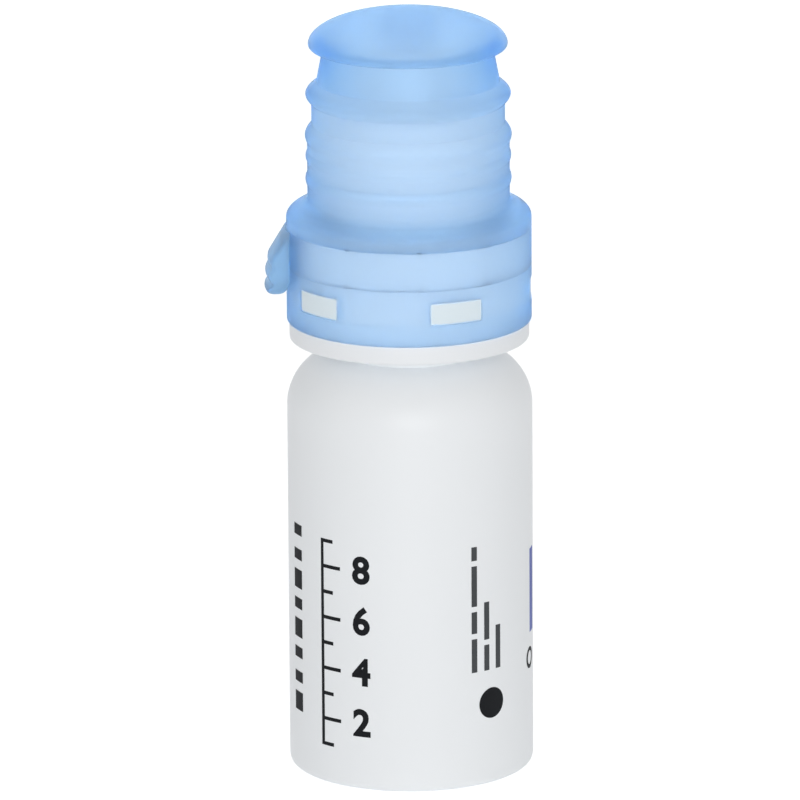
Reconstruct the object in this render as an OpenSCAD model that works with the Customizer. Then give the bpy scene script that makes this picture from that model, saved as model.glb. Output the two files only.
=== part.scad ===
// Multi-dose eye drop bottle, in millimetres.
// The axis is Z, the bottle stands on z = 0, and the photograph looks along +Y.
// A white squeeze bottle carries a white dispenser with a spring-loaded outlet stem.
// Over it sit three blue pieces: a ring that stays, a tear strip with a tab, and a pull-off cap.

/* [Bottle] */
// Diameter of the squeeze body
body_d = 24; // [22:0.5:30]
// Height of the straight side
body_h = 36.5; // [28:0.5:60]
// Wall of the body
body_wall = 0.9; // [0.6:0.1:1.4]
// Rounding between the side and the base
base_round = 0.8; // [0.5:0.1:1.6]
// Width of the ring that the bottle stands on
foot_w = 1.6; // [1:0.1:3]
// Rise of the hollow base at its centre
base_rise = 0.7; // [0.3:0.1:1.5]
// Height of the curved shoulder
shoulder_h = 5.25; // [4:0.25:8]
// Diameter of the neck
neck_d = 13.8; // [13:0.2:15]
// Wall of the neck
neck_wall = 1.2; // [0.8:0.1:1.5]
// Length of the neck above the shoulder
neck_h = 14.45; // [14:0.25:18]
// Height of the snap bead on the neck
neck_bead = 0.35; // [0.2:0.05:0.5]
// Rise of the snap bead above the flange's underside
neck_bead_rise = 6; // [4:0.5:8]

/* [Dispenser housing] */
// Step inwards from the body's side to the flange's side
flange_inset = 0.25; // [0:0.05:0.6]
// Thickness of the white flange
flange_h = 1.84; // [1.2:0.1:3]
// Gap between the bottle's shoulder and the flange
flange_gap = 1.45; // [0.8:0.1:3]
// Rounding of the flange's lower edge
flange_edge = 0.25; // [0.1:0.05:0.6]
// Wall of the tower round the neck
tower_wall = 1.05; // [0.8:0.05:1.3]
// Thickness of the tower's top
tower_top_t = 1.2; // [0.9:0.1:2]
// Rounding of the tower's top edge
tower_round = 0.9; // [0.4:0.1:1]
// Wall of the skirt behind the blue ring
skirt_wall = 1.5; // [1.2:0.1:1.6]
// Depth of the groove that holds the ring's bead
ring_groove = 0.65; // [0.4:0.05:0.8]
// Height of that groove
ring_groove_h = 1.9; // [1.4:0.1:2.1]
// Height of the valve chamber inside the tower
chamber_h = 7.6; // [7.2:0.2:10]
// Ledge between the neck bore and the valve chamber
chamber_ledge = 1.3; // [1:0.1:1.5]
// Radius of the air inlet in the tower's wall
vent_r = 0.35; // [0.2:0.05:0.5]
// Distance of the air inlet below the nozzle's mounting flange
vent_drop = 1.2; // [0.8:0.1:2]

/* [Nozzle and valve] */
// Height of the nozzle above the tower
nozzle_h = 5.4; // [4.8:0.2:8]
// Radius of the nozzle where it leaves the tower
nozzle_foot_r = 3.6; // [3.4:0.1:4]
// Radius of the nozzle at its tip
nozzle_tip_r = 3; // [2.8:0.1:3.3]
// Rounding of the nozzle's tip
nozzle_round = 0.6; // [0.3:0.1:0.7]
// Radius of the outlet
outlet_r = 0.35; // [0.2:0.05:0.6]
// Distance from the stem's seat to the nozzle's tip
outlet_l = 1.6; // [1.2:0.1:2.2]
// Depth of the dished tip that forms the drop
tip_dish = 0.5; // [0.3:0.1:0.6]
// Width of the lip round the dish
tip_lip = 0.3; // [0.2:0.05:0.5]
// Thickness of the nozzle's mounting flange
nozzle_flange_t = 0.9; // [0.6:0.1:1.2]
// Radius of the outlet stem
stem_r = 1.3; // [1.1:0.1:1.4]
// Travel of the outlet stem when the bottle is squeezed
stem_travel = 0.5; // [0.3:0.1:0.6]
// Radius of the collar that the spring pushes
stem_collar_r = 2.3; // [2.2:0.05:2.35]
// Thickness of the collar
collar_t = 0.7; // [0.5:0.1:1]
// Rise of the collar above the underside of the nozzle's flange
collar_rise = 1.3; // [1:0.1:1.5]
// Height of the sealing cone on the stem
cone_h = 0.5; // [0.3:0.1:0.8]
// Step inwards of the sealing cone
cone_step = 0.4; // [0.2:0.1:0.6]
// Gap for the liquid round the stem
flow_gap = 0.4; // [0.3:0.05:0.5]
// Gap for the liquid round and above the collar
collar_gap = 0.3; // [0.2:0.05:0.35]
// Gap between the stem and the spring's wire
spring_gap = 0.35; // [0.3:0.05:0.4]
// Wire of the valve spring
spring_wire = 0.4; // [0.3:0.05:0.45]
// Turns of the valve spring
spring_turns = 4; // [3:0.5:4.5]
// Thickness of the core's rim, clamped by the neck
core_rim_t = 0.8; // [0.6:0.1:1.2]
// Height of the core's plate above its rim
core_plate_h = 1; // [0.8:0.1:1.2]
// Height of the boss that guides the stem
boss_h = 2.2; // [1.8:0.1:2.4]
// Wall of that boss
boss_wall = 1; // [0.6:0.1:1.1]
// Rise of the guide's blind end above the rim
guide_rise = 0.8; // [0.4:0.1:1]
// Gap under the stem at the end of its travel
stem_room = 0.1; // [0.05:0.05:0.3]
// Wall between the liquid and the air
core_wall_t = 0.5; // [0.4:0.05:0.6]
// Width of the way for the air, which the filter fills
air_way_w = 1.15; // [0.9:0.05:1.25]
// Thickness of the soft neck seal
seal_t = 0.6; // [0.4:0.1:1]
// Radius of the liquid channels
liquid_r = 0.45; // [0.3:0.05:0.5]
// Radius of the air channels
air_r = 0.3; // [0.2:0.05:0.4]
// Number of channels of each kind
channels = 4; // [3:1:6]
// Height of the air filter
filter_h = 1.4; // [1:0.1:2]
// Height of the filter's snap ring
retainer_h = 0.8; // [0.6:0.1:1.2]

/* [Ring and tear strip] */
// Step inwards from the body's side to the side of the blue pieces
closure_inset = 0.01; // [0:0.01:0.3]
// Wall of the ring and the strip
ring_wall = 1; // [0.8:0.05:1.1]
// Height of the ring that stays on the base
ring_h = 5.56; // [5.2:0.1:7]
// Height of the tear strip
strip_h = 3.62; // [3.2:0.1:5]
// Slit that separates the blue pieces
slit = 0.1; // [0.08:0.02:0.2]
// Number of thin bridges across each slit
bridges = 10; // [4:1:20]
// Width of a bridge
bridge_w = 0.4; // [0.2:0.1:0.8]
// Thickness of a bridge
bridge_t = 0.5; // [0.2:0.1:0.6]
// Depth of the bridges behind the outer face
bridge_in = 0.2; // [0:0.1:0.2]
// Number of windows in the ring
windows = 5; // [3:1:5]
// Angle that each window spans, in degrees
window_angle = 26; // [20:1:28]
// Height of the windows
window_h = 2.2; // [1.6:0.1:2.4]
// Rise of the windows above the ring's lower edge
window_rise = 2.15; // [2.1:0.05:2.4]
// Recess of the white lugs in the windows
lug_recess = 0.45; // [0.2:0.05:0.6]

/* [Pull tab] */
// Direction of the tab round the axis, in degrees from +X
tab_at = 185; // [175:1:190]
// Width of the tab
tab_w = 5.2; // [4:0.2:7]
// Length of the tab below its root
tab_l = 6.85; // [6.4:0.1:7.2]
// How far the tab's grip stands out from the ring
tab_out = 1.74; // [1.4:0.05:2.4]
// Thickness of the tab's flexing root
tab_root_t = 0.12; // [0.1:0.02:0.3]
// Height of the slope from the root to the grip
tab_slope_h = 2.45; // [1.8:0.05:2.8]
// Height of the plain band between the slope and the first bump
tab_band_h = 0.9; // [0.4:0.1:1.2]
// Height of the first bump
tab_bump_h = 2.4; // [1.6:0.1:2.4]
// Rounding of the tab's lower corners
tab_corner = 1.8; // [1:0.1:1.9]
// Height of the tab's grip bumps
tab_bump = 0.25; // [0.15:0.05:0.4]

/* [Cap] */
// Wall of the cap
cap_wall = 0.95; // [0.8:0.05:1]
// Gap between the cap's tube and the tower
cap_gap = 0.93; // [0.8:0.05:1.2]
// Height of the cap's straight foot
cap_foot_h = 0.9; // [0.6:0.1:1.4]
// Height of the cap's shoulder
cap_shoulder_h = 1.42; // [1.2:0.1:1.8]
// Step inwards near the top of the tube
cap_step = 0.44; // [0.3:0.02:0.46]
// Height of the upper tube's rib above that tube
top_rib = 0.8; // [0.4:0.1:1]
// Height of the rib at the step
step_rib = 0.4; // [0.2:0.05:0.6]
// Height of the lowest rib
low_rib = 0.18; // [0.1:0.02:0.4]
// Height of the rib above it
mid_rib = 0.15; // [0.1:0.01:0.4]
// Width of the lowest rib
low_rib_w = 1.3; // [0.8:0.1:1.6]
// Width of the rib above it
mid_rib_w = 1.1; // [0.8:0.1:1.4]
// Width of the rib at the step
step_rib_w = 1.9; // [1.4:0.1:2.2]
// Width of the upper tube's rib
top_rib_w = 2.1; // [1.6:0.1:2.4]
// Rise of the lowest rib above the foot's shoulder
low_rib_rise = 2.46; // [2:0.02:3]
// Distance of the step's rib below the step
step_rib_drop = 1.25; // [1:0.05:1.6]
// Rise of the upper tube's rib above the step
top_rib_rise = 2.78; // [2.4:0.02:3]
// Distance of the step below the tower's top
step_drop = 1.4; // [1:0.1:2]
// Distance from the upper tube's rib to the waist
waist_rise = 2.8; // [2.2:0.1:3]
// Flare between the waist and the upper tube's rib
waist_flare = 0.45; // [0.3:0.05:0.6]
// Radius of the cap just under its head
cap_neck_r = 8.5; // [8.2:0.1:8.8]
// Radius of the cap's head
head_r = 9.72; // [9.3:0.05:10.6]
// Width of the rounded edge under the head
head_edge = 0.9; // [0.6:0.1:1.1]
// Rise of the head's dome
dome_h = 3.4; // [2.8:0.1:4]
// Height of the dome's edge above the nozzle's tip
dome_rise = 0.8; // [0.6:0.1:1.4]
// Height of the rounded underside of the head
head_under_h = 0.5; // [0.3:0.1:0.8]
// Radius of the pad that closes the nozzle
pad_r = 2.6; // [2.4:0.1:2.9]
// Height of the bead inside the cap that grips the tower
grip_bead_h = 1.8; // [1.4:0.1:2.2]
// Height of that bead's flat land
grip_land_h = 0.6; // [0.4:0.1:0.8]

/* [Hidden] */
$fn = 96;

// Clearances: between fixed pieces, on the sliding stem, and between the blue pieces and the skirt
fit = 0.05;
stem_fit = 0.05;
skirt_fit = 0.12;

// Moulded edges: rims, the bottle's inner corner, the stem's foot, the ring's lower edge
edge = 0.3;
floor_edge = 0.6;
stem_edge = 0.2;
ring_edge = 0.12;
// Lead-in, land and ramp of the neck's bead
bead_lead = 0.3;
bead_land = 0.4;
bead_ramp = 0.7;
// Taper of the cavity above the collar, and the lead into the outlet
cavity_taper_h = 0.8;
outlet_lead = 0.2;
// Sharper curve at the top of the cap's shoulder, and the taper behind the step
shoulder_sharp = 0.12;
step_taper = 0.8;
// Overlap of bodies that are joined or cut, and the sector that holds the tab
eps = 0.2;
tab_sector = 50;

// Radii
body_r = body_d / 2;
neck_r = neck_d / 2;
neck_in_r = neck_r - neck_wall;
bore_r = neck_r + fit;
tower_r = bore_r + tower_wall;
chamber_r = neck_r - chamber_ledge;
flange_r = body_r - flange_inset;
closure_r = body_r - closure_inset;
ring_in_r = closure_r - ring_wall;
skirt_r = ring_in_r - skirt_fit;
skirt_in_r = skirt_r - skirt_wall;
lug_r = closure_r - lug_recess;
core_r = chamber_r - fit;
core_wall_r = core_r - air_way_w;
core_wall_in_r = core_wall_r - core_wall_t;
boss_r = stem_r + boss_wall;
cavity_r = stem_collar_r + collar_gap;
seat_bore_r = stem_r + flow_gap;
spring_r = stem_r + spring_gap + spring_wire / 2;
cap_in_r = tower_r + cap_gap;
cap_r = cap_in_r + cap_wall;
cap_upper_r = cap_r - cap_step;

// Heights, from the table up
z_neck = body_h + shoulder_h;
z_flange = z_neck + flange_gap;
z_ring = z_flange + flange_h;
z_ring_top = z_ring + ring_h;
z_strip = z_ring_top + slit;
z_strip_top = z_strip + strip_h;
z_cap = z_strip_top + slit;
z_skirt_top = z_strip_top - skirt_fit;
z_neck_top = z_neck + neck_h;
z_rim = z_neck_top + seal_t;
z_ledge = z_rim + core_rim_t;
z_plate = z_ledge + core_plate_h;
z_boss = z_plate + boss_h;
z_guide = z_ledge + guide_rise;
z_stem = z_guide + stem_travel + stem_room;
z_chamber = z_ledge + chamber_h;
z_nozzle = z_chamber - nozzle_flange_t;
z_collar = z_nozzle + collar_rise;
z_collar_top = z_collar + collar_t;
z_cavity_top = z_collar_top + collar_gap + 0.4;
z_tower = z_chamber + tower_top_t;
z_tip = z_tower + nozzle_h;
z_seat = z_tip - outlet_l;
z_window = z_ring + window_rise;
z_dome = z_tip + dome_rise;
z_bead = z_flange + neck_bead_rise;
z_cap_tube = z_cap + cap_foot_h + cap_shoulder_h;
z_step = z_tower - step_drop;

// Colours as the photograph shows them
white_body = [0.92, 0.94, 0.95];
white_part = [0.89, 0.92, 0.93];
blue_cap = [0.66, 0.80, 0.96];
blue_strip = [0.69, 0.82, 0.97];
blue_ring = [0.72, 0.85, 0.97];
steel = [0.72, 0.73, 0.75];
soft_grey = [0.80, 0.82, 0.82];

// Points on an elliptical arc about [r, z], from angle a to angle b
function arc(r, z, rr, rz, a, b, n = 12) =
    [for (i = [0:n]) let (t = a + (b - a) * i / n) [r + rr * cos(t), z + rz * sin(t)]];

// Points up a rounded rib of height h and width w at z, on a wall that goes from r to r_top
function rib(r, r_top, z, h, w, n = 10) =
    [for (i = [0:n]) let (t = i / n) [r + (r_top - r) * t + h * sin(180 * t), z + w * (t - 0.5)]];

// A turned piece from its outline in [radius, height]
module turned(outline) {
    rotate_extrude() polygon(outline);
}

// A sector of a ring between two radii and two heights, centred on +X
module sector(r_in, r_out, z_low, z_high, span) {
    rotate([0, 0, -span / 2])
        rotate_extrude(angle = span)
            translate([r_in, z_low]) square([r_out - r_in, z_high - z_low]);
}

// Squeeze bottle with a hollow base, a curved shoulder and a neck with a snap bead
module bottle() {
    dish_r = body_r - base_round - foot_w;
    dish = [for (i = [0:6]) [dish_r * i / 6, base_rise * (1 - pow(i / 6, 2))]];
    bead = [
        [neck_r, z_bead], [neck_r + neck_bead, z_bead + bead_lead],
        [neck_r + neck_bead, z_bead + bead_lead + bead_land],
        [neck_r, z_bead + bead_lead + bead_land + bead_ramp]];
    outside = concat(
        dish,
        arc(body_r - base_round, base_round, base_round, base_round, -90, 0, 8),
        arc(neck_r, body_h, body_r - neck_r, shoulder_h, 0, 90, 16),
        bead, [[neck_r, z_neck_top - edge], [neck_r - edge, z_neck_top]]);
    floor_z = base_rise + body_wall;
    inner_r = body_r - body_wall;
    inside = concat(
        [[neck_in_r, z_neck_top]],
        arc(neck_in_r, body_h, inner_r - neck_in_r, shoulder_h - body_wall, 90, 0, 16),
        [[inner_r, floor_z + floor_edge], [inner_r - floor_edge, floor_z], [0, floor_z]]);
    color(white_body) turned(concat(outside, inside));
}

// Places a child at each window of the ring; the tab sits midway between two of them
module at_windows() {
    for (i = [0:windows - 1]) rotate([0, 0, tab_at + (i + 0.5) * 360 / windows]) children();
}

// White base: flange, skirt with lugs, and the tower that holds the valve
module dispenser_housing() {
    groove_r = skirt_r - ring_groove;
    bead_groove = [
        [bore_r, z_bead + bead_lead + bead_land + bead_ramp + fit],
        [bore_r + neck_bead, z_bead + bead_lead + bead_land + fit],
        [bore_r + neck_bead, z_bead + bead_lead - fit], [bore_r, z_bead - fit]];
    outline = concat(
        [[bore_r, z_flange], [flange_r - flange_edge, z_flange], [flange_r, z_flange + flange_edge],
         [flange_r, z_ring], [groove_r, z_ring], [groove_r, z_ring + ring_groove_h],
         [skirt_r, z_ring + ring_groove_h], [skirt_r, z_skirt_top - edge],
         [skirt_r - edge, z_skirt_top], [skirt_in_r, z_skirt_top], [skirt_in_r, z_ring],
         [tower_r, z_ring]],
        arc(tower_r - tower_round, z_tower - tower_round, tower_round, tower_round, 0, 90, 8),
        [[nozzle_foot_r + fit, z_tower], [nozzle_foot_r + fit, z_chamber], [chamber_r, z_chamber],
         [chamber_r, z_ledge], [bore_r, z_ledge]],
        bead_groove);
    lug_span = window_angle - 4 * atan(fit / skirt_r);
    color(white_part) difference() {
        union() {
            turned(outline);
            at_windows()
                sector(skirt_r - eps, lug_r, z_window + fit, z_window + window_h - fit, lug_span);
        }
        translate([0, 0, z_nozzle - vent_drop]) rotate([-90, 0, 0])
            cylinder(r = vent_r, h = tower_r + 1);
    }
}

// White dropper nozzle, clamped under the tower's top
module nozzle_tip() {
    top_r = nozzle_tip_r - nozzle_round;
    dish_z = z_tip - tip_dish;
    outline = concat(
        [[cavity_r, z_nozzle], [core_r, z_nozzle], [core_r, z_chamber], [nozzle_foot_r, z_chamber],
         [nozzle_foot_r, z_tower]],
        arc(top_r, z_tip - nozzle_round, nozzle_round, nozzle_round, 0, 90, 6),
        [[top_r - tip_lip, z_tip], [outlet_r + tip_lip, dish_z], [outlet_r, dish_z - outlet_lead],
         [outlet_r, z_seat], [seat_bore_r, z_seat], [seat_bore_r, z_cavity_top + cavity_taper_h],
         [cavity_r, z_cavity_top]]);
    color(white_part) turned(outline);
}

// Core of the valve: guides the stem, seats the spring and parts the liquid from the air
module valve_core() {
    liquid_at = (boss_r + core_wall_in_r) / 2;
    air_at = (core_wall_r + core_r) / 2;
    outline = [
        [0, z_rim], [neck_r - fit, z_rim], [neck_r - fit, z_ledge], [core_r, z_ledge],
        [core_r, z_plate], [core_wall_r, z_plate], [core_wall_r, z_nozzle],
        [core_wall_in_r, z_nozzle], [core_wall_in_r, z_plate], [boss_r, z_plate],
        [boss_r, z_boss], [stem_r + stem_fit, z_boss], [stem_r + stem_fit, z_guide],
        [0, z_guide]];
    color(white_part) difference() {
        turned(outline);
        for (i = [0:channels - 1]) rotate([0, 0, 360 * i / channels])
            translate([0, 0, z_rim - 1]) {
                translate([liquid_at, 0, 0]) cylinder(r = liquid_r, h = z_boss - z_rim);
                translate([air_at, 0, 0]) cylinder(r = air_r, h = z_boss - z_rim);
            }
    }
}

// Stem that shuts the outlet from inside
module outlet_valve() {
    outline = [
        [0, z_stem], [stem_r - stem_edge, z_stem], [stem_r, z_stem + stem_edge], [stem_r, z_collar],
        [stem_collar_r, z_collar], [stem_collar_r, z_collar_top], [stem_r, z_collar_top],
        [stem_r, z_seat - cone_h], [stem_r - cone_step, z_seat], [0, z_seat]];
    color("white") turned(outline);
}

// Centre line of the spring at turn t, with its wire resting on the core and under the collar
spring_low = z_boss + spring_wire / 2;
spring_rise = z_collar - z_boss - spring_wire;
function spring_at(t) =
    [spring_r * cos(360 * t), spring_r * sin(360 * t), spring_low + spring_rise * t / spring_turns];
function spring_along(t) =
    let (v = [-sin(360 * t), cos(360 * t), spring_rise / (spring_turns * 2 * PI * spring_r)])
    v / norm(v);

// One ring of the wire: six points across the direction of the wire at turn t, moved along by s
function wire_ring(t, s) =
    let (d = spring_along(t), u = [cos(360 * t), sin(360 * t), 0], w = cross(d, u))
    [for (k = [0:5]) spring_at(t) + s * [d[0], d[1], 0]
        + spring_wire / 2 * (cos(60 * k) * u + sin(60 * k) * w)];

// Steel compression spring under the stem's collar
module valve_spring() {
    steps = spring_turns * 8;
    rings = concat(
        [wire_ring(0, -spring_wire)],
        [for (i = [0:steps]) wire_ring(i / 8, 0)],
        [wire_ring(spring_turns, spring_wire)]);
    count = len(rings);
    points = [for (r = rings) each r];
    sides = [for (i = [0:count - 2], k = [0:5])
        let (a = i * 6 + k, b = i * 6 + (k + 1) % 6)
        each [[a, b + 6, b], [a, a + 6, b + 6]]];
    last = (count - 1) * 6;
    ends = [for (k = [1:4]) each [[0, k, k + 1], [last, last + k + 1, last + k]]];
    color(steel) polyhedron(points, concat(sides, ends), convexity = 6);
}

// Least gap between neighbouring turns, measured on the points of the centre line
spring_least_gap = min([for (i = [0:(spring_turns - 1) * 8])
    min([for (j = [6:10]) norm(spring_at((i + j) / 8) - spring_at(i / 8))])]) - spring_wire;
echo(spring_least_gap_mm = spring_least_gap);

// Ring of porous plastic on the path of the returning air
module air_filter() {
    color(soft_grey) turned([
        [core_wall_r + fit, z_plate], [core_r, z_plate],
        [core_r, z_plate + filter_h], [core_wall_r + fit, z_plate + filter_h]]);
}

// Snap ring that holds the filter down
module filter_retainer() {
    z0 = z_plate + filter_h;
    r0 = core_wall_r + fit;
    color(white_part) turned([
        [r0, z0], [core_r, z0], [core_r, z0 + retainer_h], [r0 + edge, z0 + retainer_h],
        [r0, z0 + retainer_h - edge]]);
}

// Soft seal between the neck's mouth and the core's rim
module neck_seal() {
    r0 = neck_in_r + fit;
    r1 = neck_r - fit;
    color(soft_grey) turned([
        [r0, z_neck_top], [neck_r - edge, z_neck_top], [r1, z_neck_top + edge - fit], [r1, z_rim],
        [r0, z_rim]]);
}

// Blue ring that stays on the base, locked by its bead and by the lugs in its windows
module retaining_ring() {
    bead_r = skirt_r - ring_groove + fit * 2;
    outline = [
        [bead_r, z_ring], [closure_r - ring_edge, z_ring], [closure_r, z_ring + edge],
        [closure_r, z_ring_top], [ring_in_r, z_ring_top],
        [ring_in_r, z_ring + ring_groove_h], [bead_r, z_ring + ring_groove_h - fit * 2]];
    color(blue_ring) difference() {
        turned(outline);
        at_windows()
            sector(ring_in_r - eps, closure_r + eps, z_window, z_window + window_h, window_angle);
    }
}

// Thin bridges that fill the slit above z, rooted in the strip by a stub that goes up or down
module bridge_row(z, stub) {
    for (i = [0:bridges - 1]) rotate([0, 0, tab_at + (i + 0.5) * 360 / bridges])
        translate([closure_r - bridge_in - bridge_t, -bridge_w / 2, min(z, z + stub)])
            cube([bridge_t, bridge_w, slit + abs(stub)]);
}

// Tear strip between the cap and the ring
module tear_strip() {
    color(blue_strip) {
        turned([[ring_in_r, z_strip], [closure_r, z_strip], [closure_r, z_strip_top],
                [ring_in_r, z_strip_top]]);
        bridge_row(z_ring_top, eps);
        bridge_row(z_strip_top, -eps);
    }
}

// Points down a bump that stands out from radius r by h, from z_high to z_low
function bump(r, h, z_high, z_low, n = 8) =
    [for (i = [0:n]) let (t = i / n) [r + h * sin(180 * t), z_high + (z_low - z_high) * t]];

// Pull tab: a wedge that widens downwards into a grip with two bumps and a rounded end
module pull_tab() {
    tab_in_r = closure_r + skirt_fit;
    grip_r = closure_r + tab_out;
    z_low = z_strip_top - tab_l;
    z_grip = z_strip_top - tab_slope_h;
    z_bump = z_grip - tab_band_h;
    z_between = z_bump - tab_bump_h;
    outline = concat(
        [[tab_in_r, z_low + edge], [tab_in_r, z_strip_top], [tab_in_r + tab_root_t, z_strip_top],
         [grip_r, z_grip]],
        bump(grip_r, tab_bump, z_bump, z_between),
        bump(grip_r, tab_bump, z_between - edge, z_low + edge / 2, 6),
        [[grip_r - edge, z_low], [tab_in_r + edge, z_low]]);
    color(blue_strip) rotate([0, 0, tab_at]) intersection() {
        rotate([0, 0, -tab_sector / 2]) rotate_extrude(angle = tab_sector) polygon(outline);
        rotate([90, 0, 90]) linear_extrude(height = closure_r * 2) union() {
            translate([-tab_w / 2, z_low + tab_corner]) square([tab_w, tab_l]);
            translate([tab_corner - tab_w / 2, z_low]) square([tab_w - 2 * tab_corner, tab_l]);
            for (side = [-1, 1])
                translate([side * (tab_w / 2 - tab_corner), z_low + tab_corner]) circle(r = tab_corner);
        }
    }
}

// Pull-off cap: flared foot, ribbed tube, waist and mushroom head, hollow all the way up
module cap() {
    z_foot = z_cap + cap_foot_h;
    z_low_rib = z_cap_tube + low_rib_rise;
    z_step_rib = z_step - step_rib_drop;
    z_mid_rib = (z_low_rib + z_step_rib) / 2;
    z_top_rib = z_step + top_rib_rise;
    z_waist = z_top_rib + waist_rise;
    foot_in_r = closure_r - cap_wall;
    upper_in_r = cap_upper_r - cap_wall;
    waist_in_r = cap_neck_r - cap_wall;
    outside = concat(
        arc(cap_r, z_foot, closure_r - cap_r, cap_shoulder_h - shoulder_sharp, 0, 78, 10),
        [[cap_r, z_cap_tube]],
        rib(cap_r, cap_r, z_low_rib, low_rib, low_rib_w, 8),
        rib(cap_r, cap_r, z_mid_rib, mid_rib, mid_rib_w, 8),
        rib(cap_r, cap_upper_r, z_step_rib, step_rib, step_rib_w),
        rib(cap_upper_r, cap_neck_r + waist_flare, z_top_rib, top_rib, top_rib_w, 12),
        [[cap_neck_r, z_waist]],
        arc(head_r - head_edge, z_dome, head_edge, head_under_h, -85, 0, 6),
        [for (p = arc(0, z_dome, head_r, dome_h, 0, 90, 24)) if (p[1] > z_dome) p]);
    inside = concat(
        [[0, z_tip], [pad_r, z_tip]],
        arc(0, z_dome, waist_in_r, dome_h - cap_wall, 70, 0, 10),
        [[waist_in_r, z_waist], [waist_in_r + waist_flare, z_top_rib + top_rib_w / 2],
         [upper_in_r, z_top_rib - top_rib_w / 2], [upper_in_r, z_step],
         [cap_in_r, z_step - step_taper],
         [cap_in_r, z_low_rib + grip_bead_h / 2], [tower_r + fit, z_low_rib + grip_land_h / 2],
         [tower_r + fit, z_low_rib - grip_land_h / 2], [cap_in_r, z_low_rib - grip_bead_h / 2]],
        arc(cap_in_r, z_foot - cap_wall / 2, foot_in_r - cap_in_r, cap_shoulder_h - cap_wall / 2,
            90, 0, 8),
        [[foot_in_r, z_cap], [closure_r, z_cap]]);
    color(blue_cap) turned(concat(outside, inside));
}

bottle();
dispenser_housing();
nozzle_tip();
valve_core();
outlet_valve();
valve_spring();
air_filter();
filter_retainer();
neck_seal();
retaining_ring();
tear_strip();
pull_tab();
cap();
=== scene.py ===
# %% [markdown]
# # Dressing a multi-dose eye drop bottle
# The bottle stands 76 mm tall: a white squeeze bottle, a white dispenser with a nozzle, and three
# milky blue pieces over it, which are a ring that stays, a tear strip with a tab, and a pull-off cap.
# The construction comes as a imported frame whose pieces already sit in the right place.
# This script keeps that frame, builds finer meshes over the pieces that show, and gives every
# piece its finish. The first cell loads the frame and remembers the box that it fills.

# %% Load the frame
import math

import bmesh
import bpy
from mathutils import Matrix, Vector


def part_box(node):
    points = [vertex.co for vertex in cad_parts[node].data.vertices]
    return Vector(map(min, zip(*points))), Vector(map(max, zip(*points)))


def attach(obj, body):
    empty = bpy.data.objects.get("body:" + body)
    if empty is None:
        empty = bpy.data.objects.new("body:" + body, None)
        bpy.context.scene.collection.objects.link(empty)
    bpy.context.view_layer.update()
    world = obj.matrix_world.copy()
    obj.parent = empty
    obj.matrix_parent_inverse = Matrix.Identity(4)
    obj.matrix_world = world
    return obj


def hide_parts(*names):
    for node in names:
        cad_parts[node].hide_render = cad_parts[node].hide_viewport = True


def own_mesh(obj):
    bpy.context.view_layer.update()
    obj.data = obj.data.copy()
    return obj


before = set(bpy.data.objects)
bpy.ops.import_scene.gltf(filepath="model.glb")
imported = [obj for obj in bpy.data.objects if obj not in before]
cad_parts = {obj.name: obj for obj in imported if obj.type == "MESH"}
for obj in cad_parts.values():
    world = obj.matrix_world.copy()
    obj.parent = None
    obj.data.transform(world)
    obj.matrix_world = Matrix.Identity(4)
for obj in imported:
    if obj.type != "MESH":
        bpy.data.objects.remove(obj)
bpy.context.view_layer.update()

MM = 0.001  # one millimetre in metres; outlines are written in millimetres


def reach(node):
    """Outer radius, lowest and highest point of a turned CAD node, in millimetres."""
    low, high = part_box(node)
    return high.y / MM, low.z / MM, high.z / MM


BODY_R, _, NECK_TOP = reach("bottle")
_, CAP_LOW, CAP_TOP = reach("cap")
print("frame:", len(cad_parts), "nodes, top at", round(CAP_TOP, 2), "mm")

# %% [markdown]
# ## The camera
# The photograph was taken from about a metre away with a long lens, a little above the bottle, so
# the limbs of the bottle run almost parallel. A constraint could aim the camera, but a rotation that
# is worked out once needs nothing more later. It looks from the camera's place at a point beside the
# bottle's middle, and a small roll follows the lean of the photograph.

# %% Camera
CAMERA_DISTANCE = 1.0
CAMERA_ELEVATION = math.radians(14.9)
CAMERA_LENS = 459
CAMERA_ROLL = math.radians(-0.34)
BOTTLE_MIDDLE = Vector((0, 0, 0.038))
AIM_LEFT = 0.00096
AIM_DOWN = 0.00127
CAMERA_NEAR = 0.01
CAMERA_FAR = 20


def make_camera():
    """Camera at the photograph's angle, aimed a little left of and below the bottle's middle."""
    back = Vector((0, -math.cos(CAMERA_ELEVATION), math.sin(CAMERA_ELEVATION)))
    up = Vector((0, math.sin(CAMERA_ELEVATION), math.cos(CAMERA_ELEVATION)))
    place = BOTTLE_MIDDLE + back * CAMERA_DISTANCE
    aim = BOTTLE_MIDDLE - up * AIM_DOWN - Vector((AIM_LEFT, 0, 0))
    camera = bpy.data.objects.new("camera", bpy.data.cameras.new("camera"))
    camera.data.lens = CAMERA_LENS
    camera.data.clip_start = CAMERA_NEAR
    camera.data.clip_end = CAMERA_FAR
    turn = (aim - place).to_track_quat("-Z", "Y").to_matrix()
    turn = turn @ Matrix.Rotation(CAMERA_ROLL, 3, "Z")
    camera.matrix_world = Matrix.Translation(place) @ turn.to_4x4()
    bpy.context.scene.collection.objects.link(camera)
    bpy.context.scene.camera = camera
    return camera


camera = make_camera()
bpy.context.scene.view_settings.view_transform = "Standard"
print("camera at", [round(v, 3) for v in camera.location])

# %% [markdown]
# ## Sky and floor
# White plastic shows its form only through soft falloff, so most of the light is an even sky. A
# picture of a studio could light the bottle as well, but a plain sky needs no file and treats every
# side alike. The sky and the floor look white to the camera, to gloss and to what shines through the
# blue plastic, while the light that they give is weaker, so that the white plastic keeps its tone.
# The floor gives a little light of its own, which fills the shadow under the white flange.

# %% Sky
SKY_LEVEL = 0.44
SKY_COLOUR = (0.985, 0.992, 1.0, 1)


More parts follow.
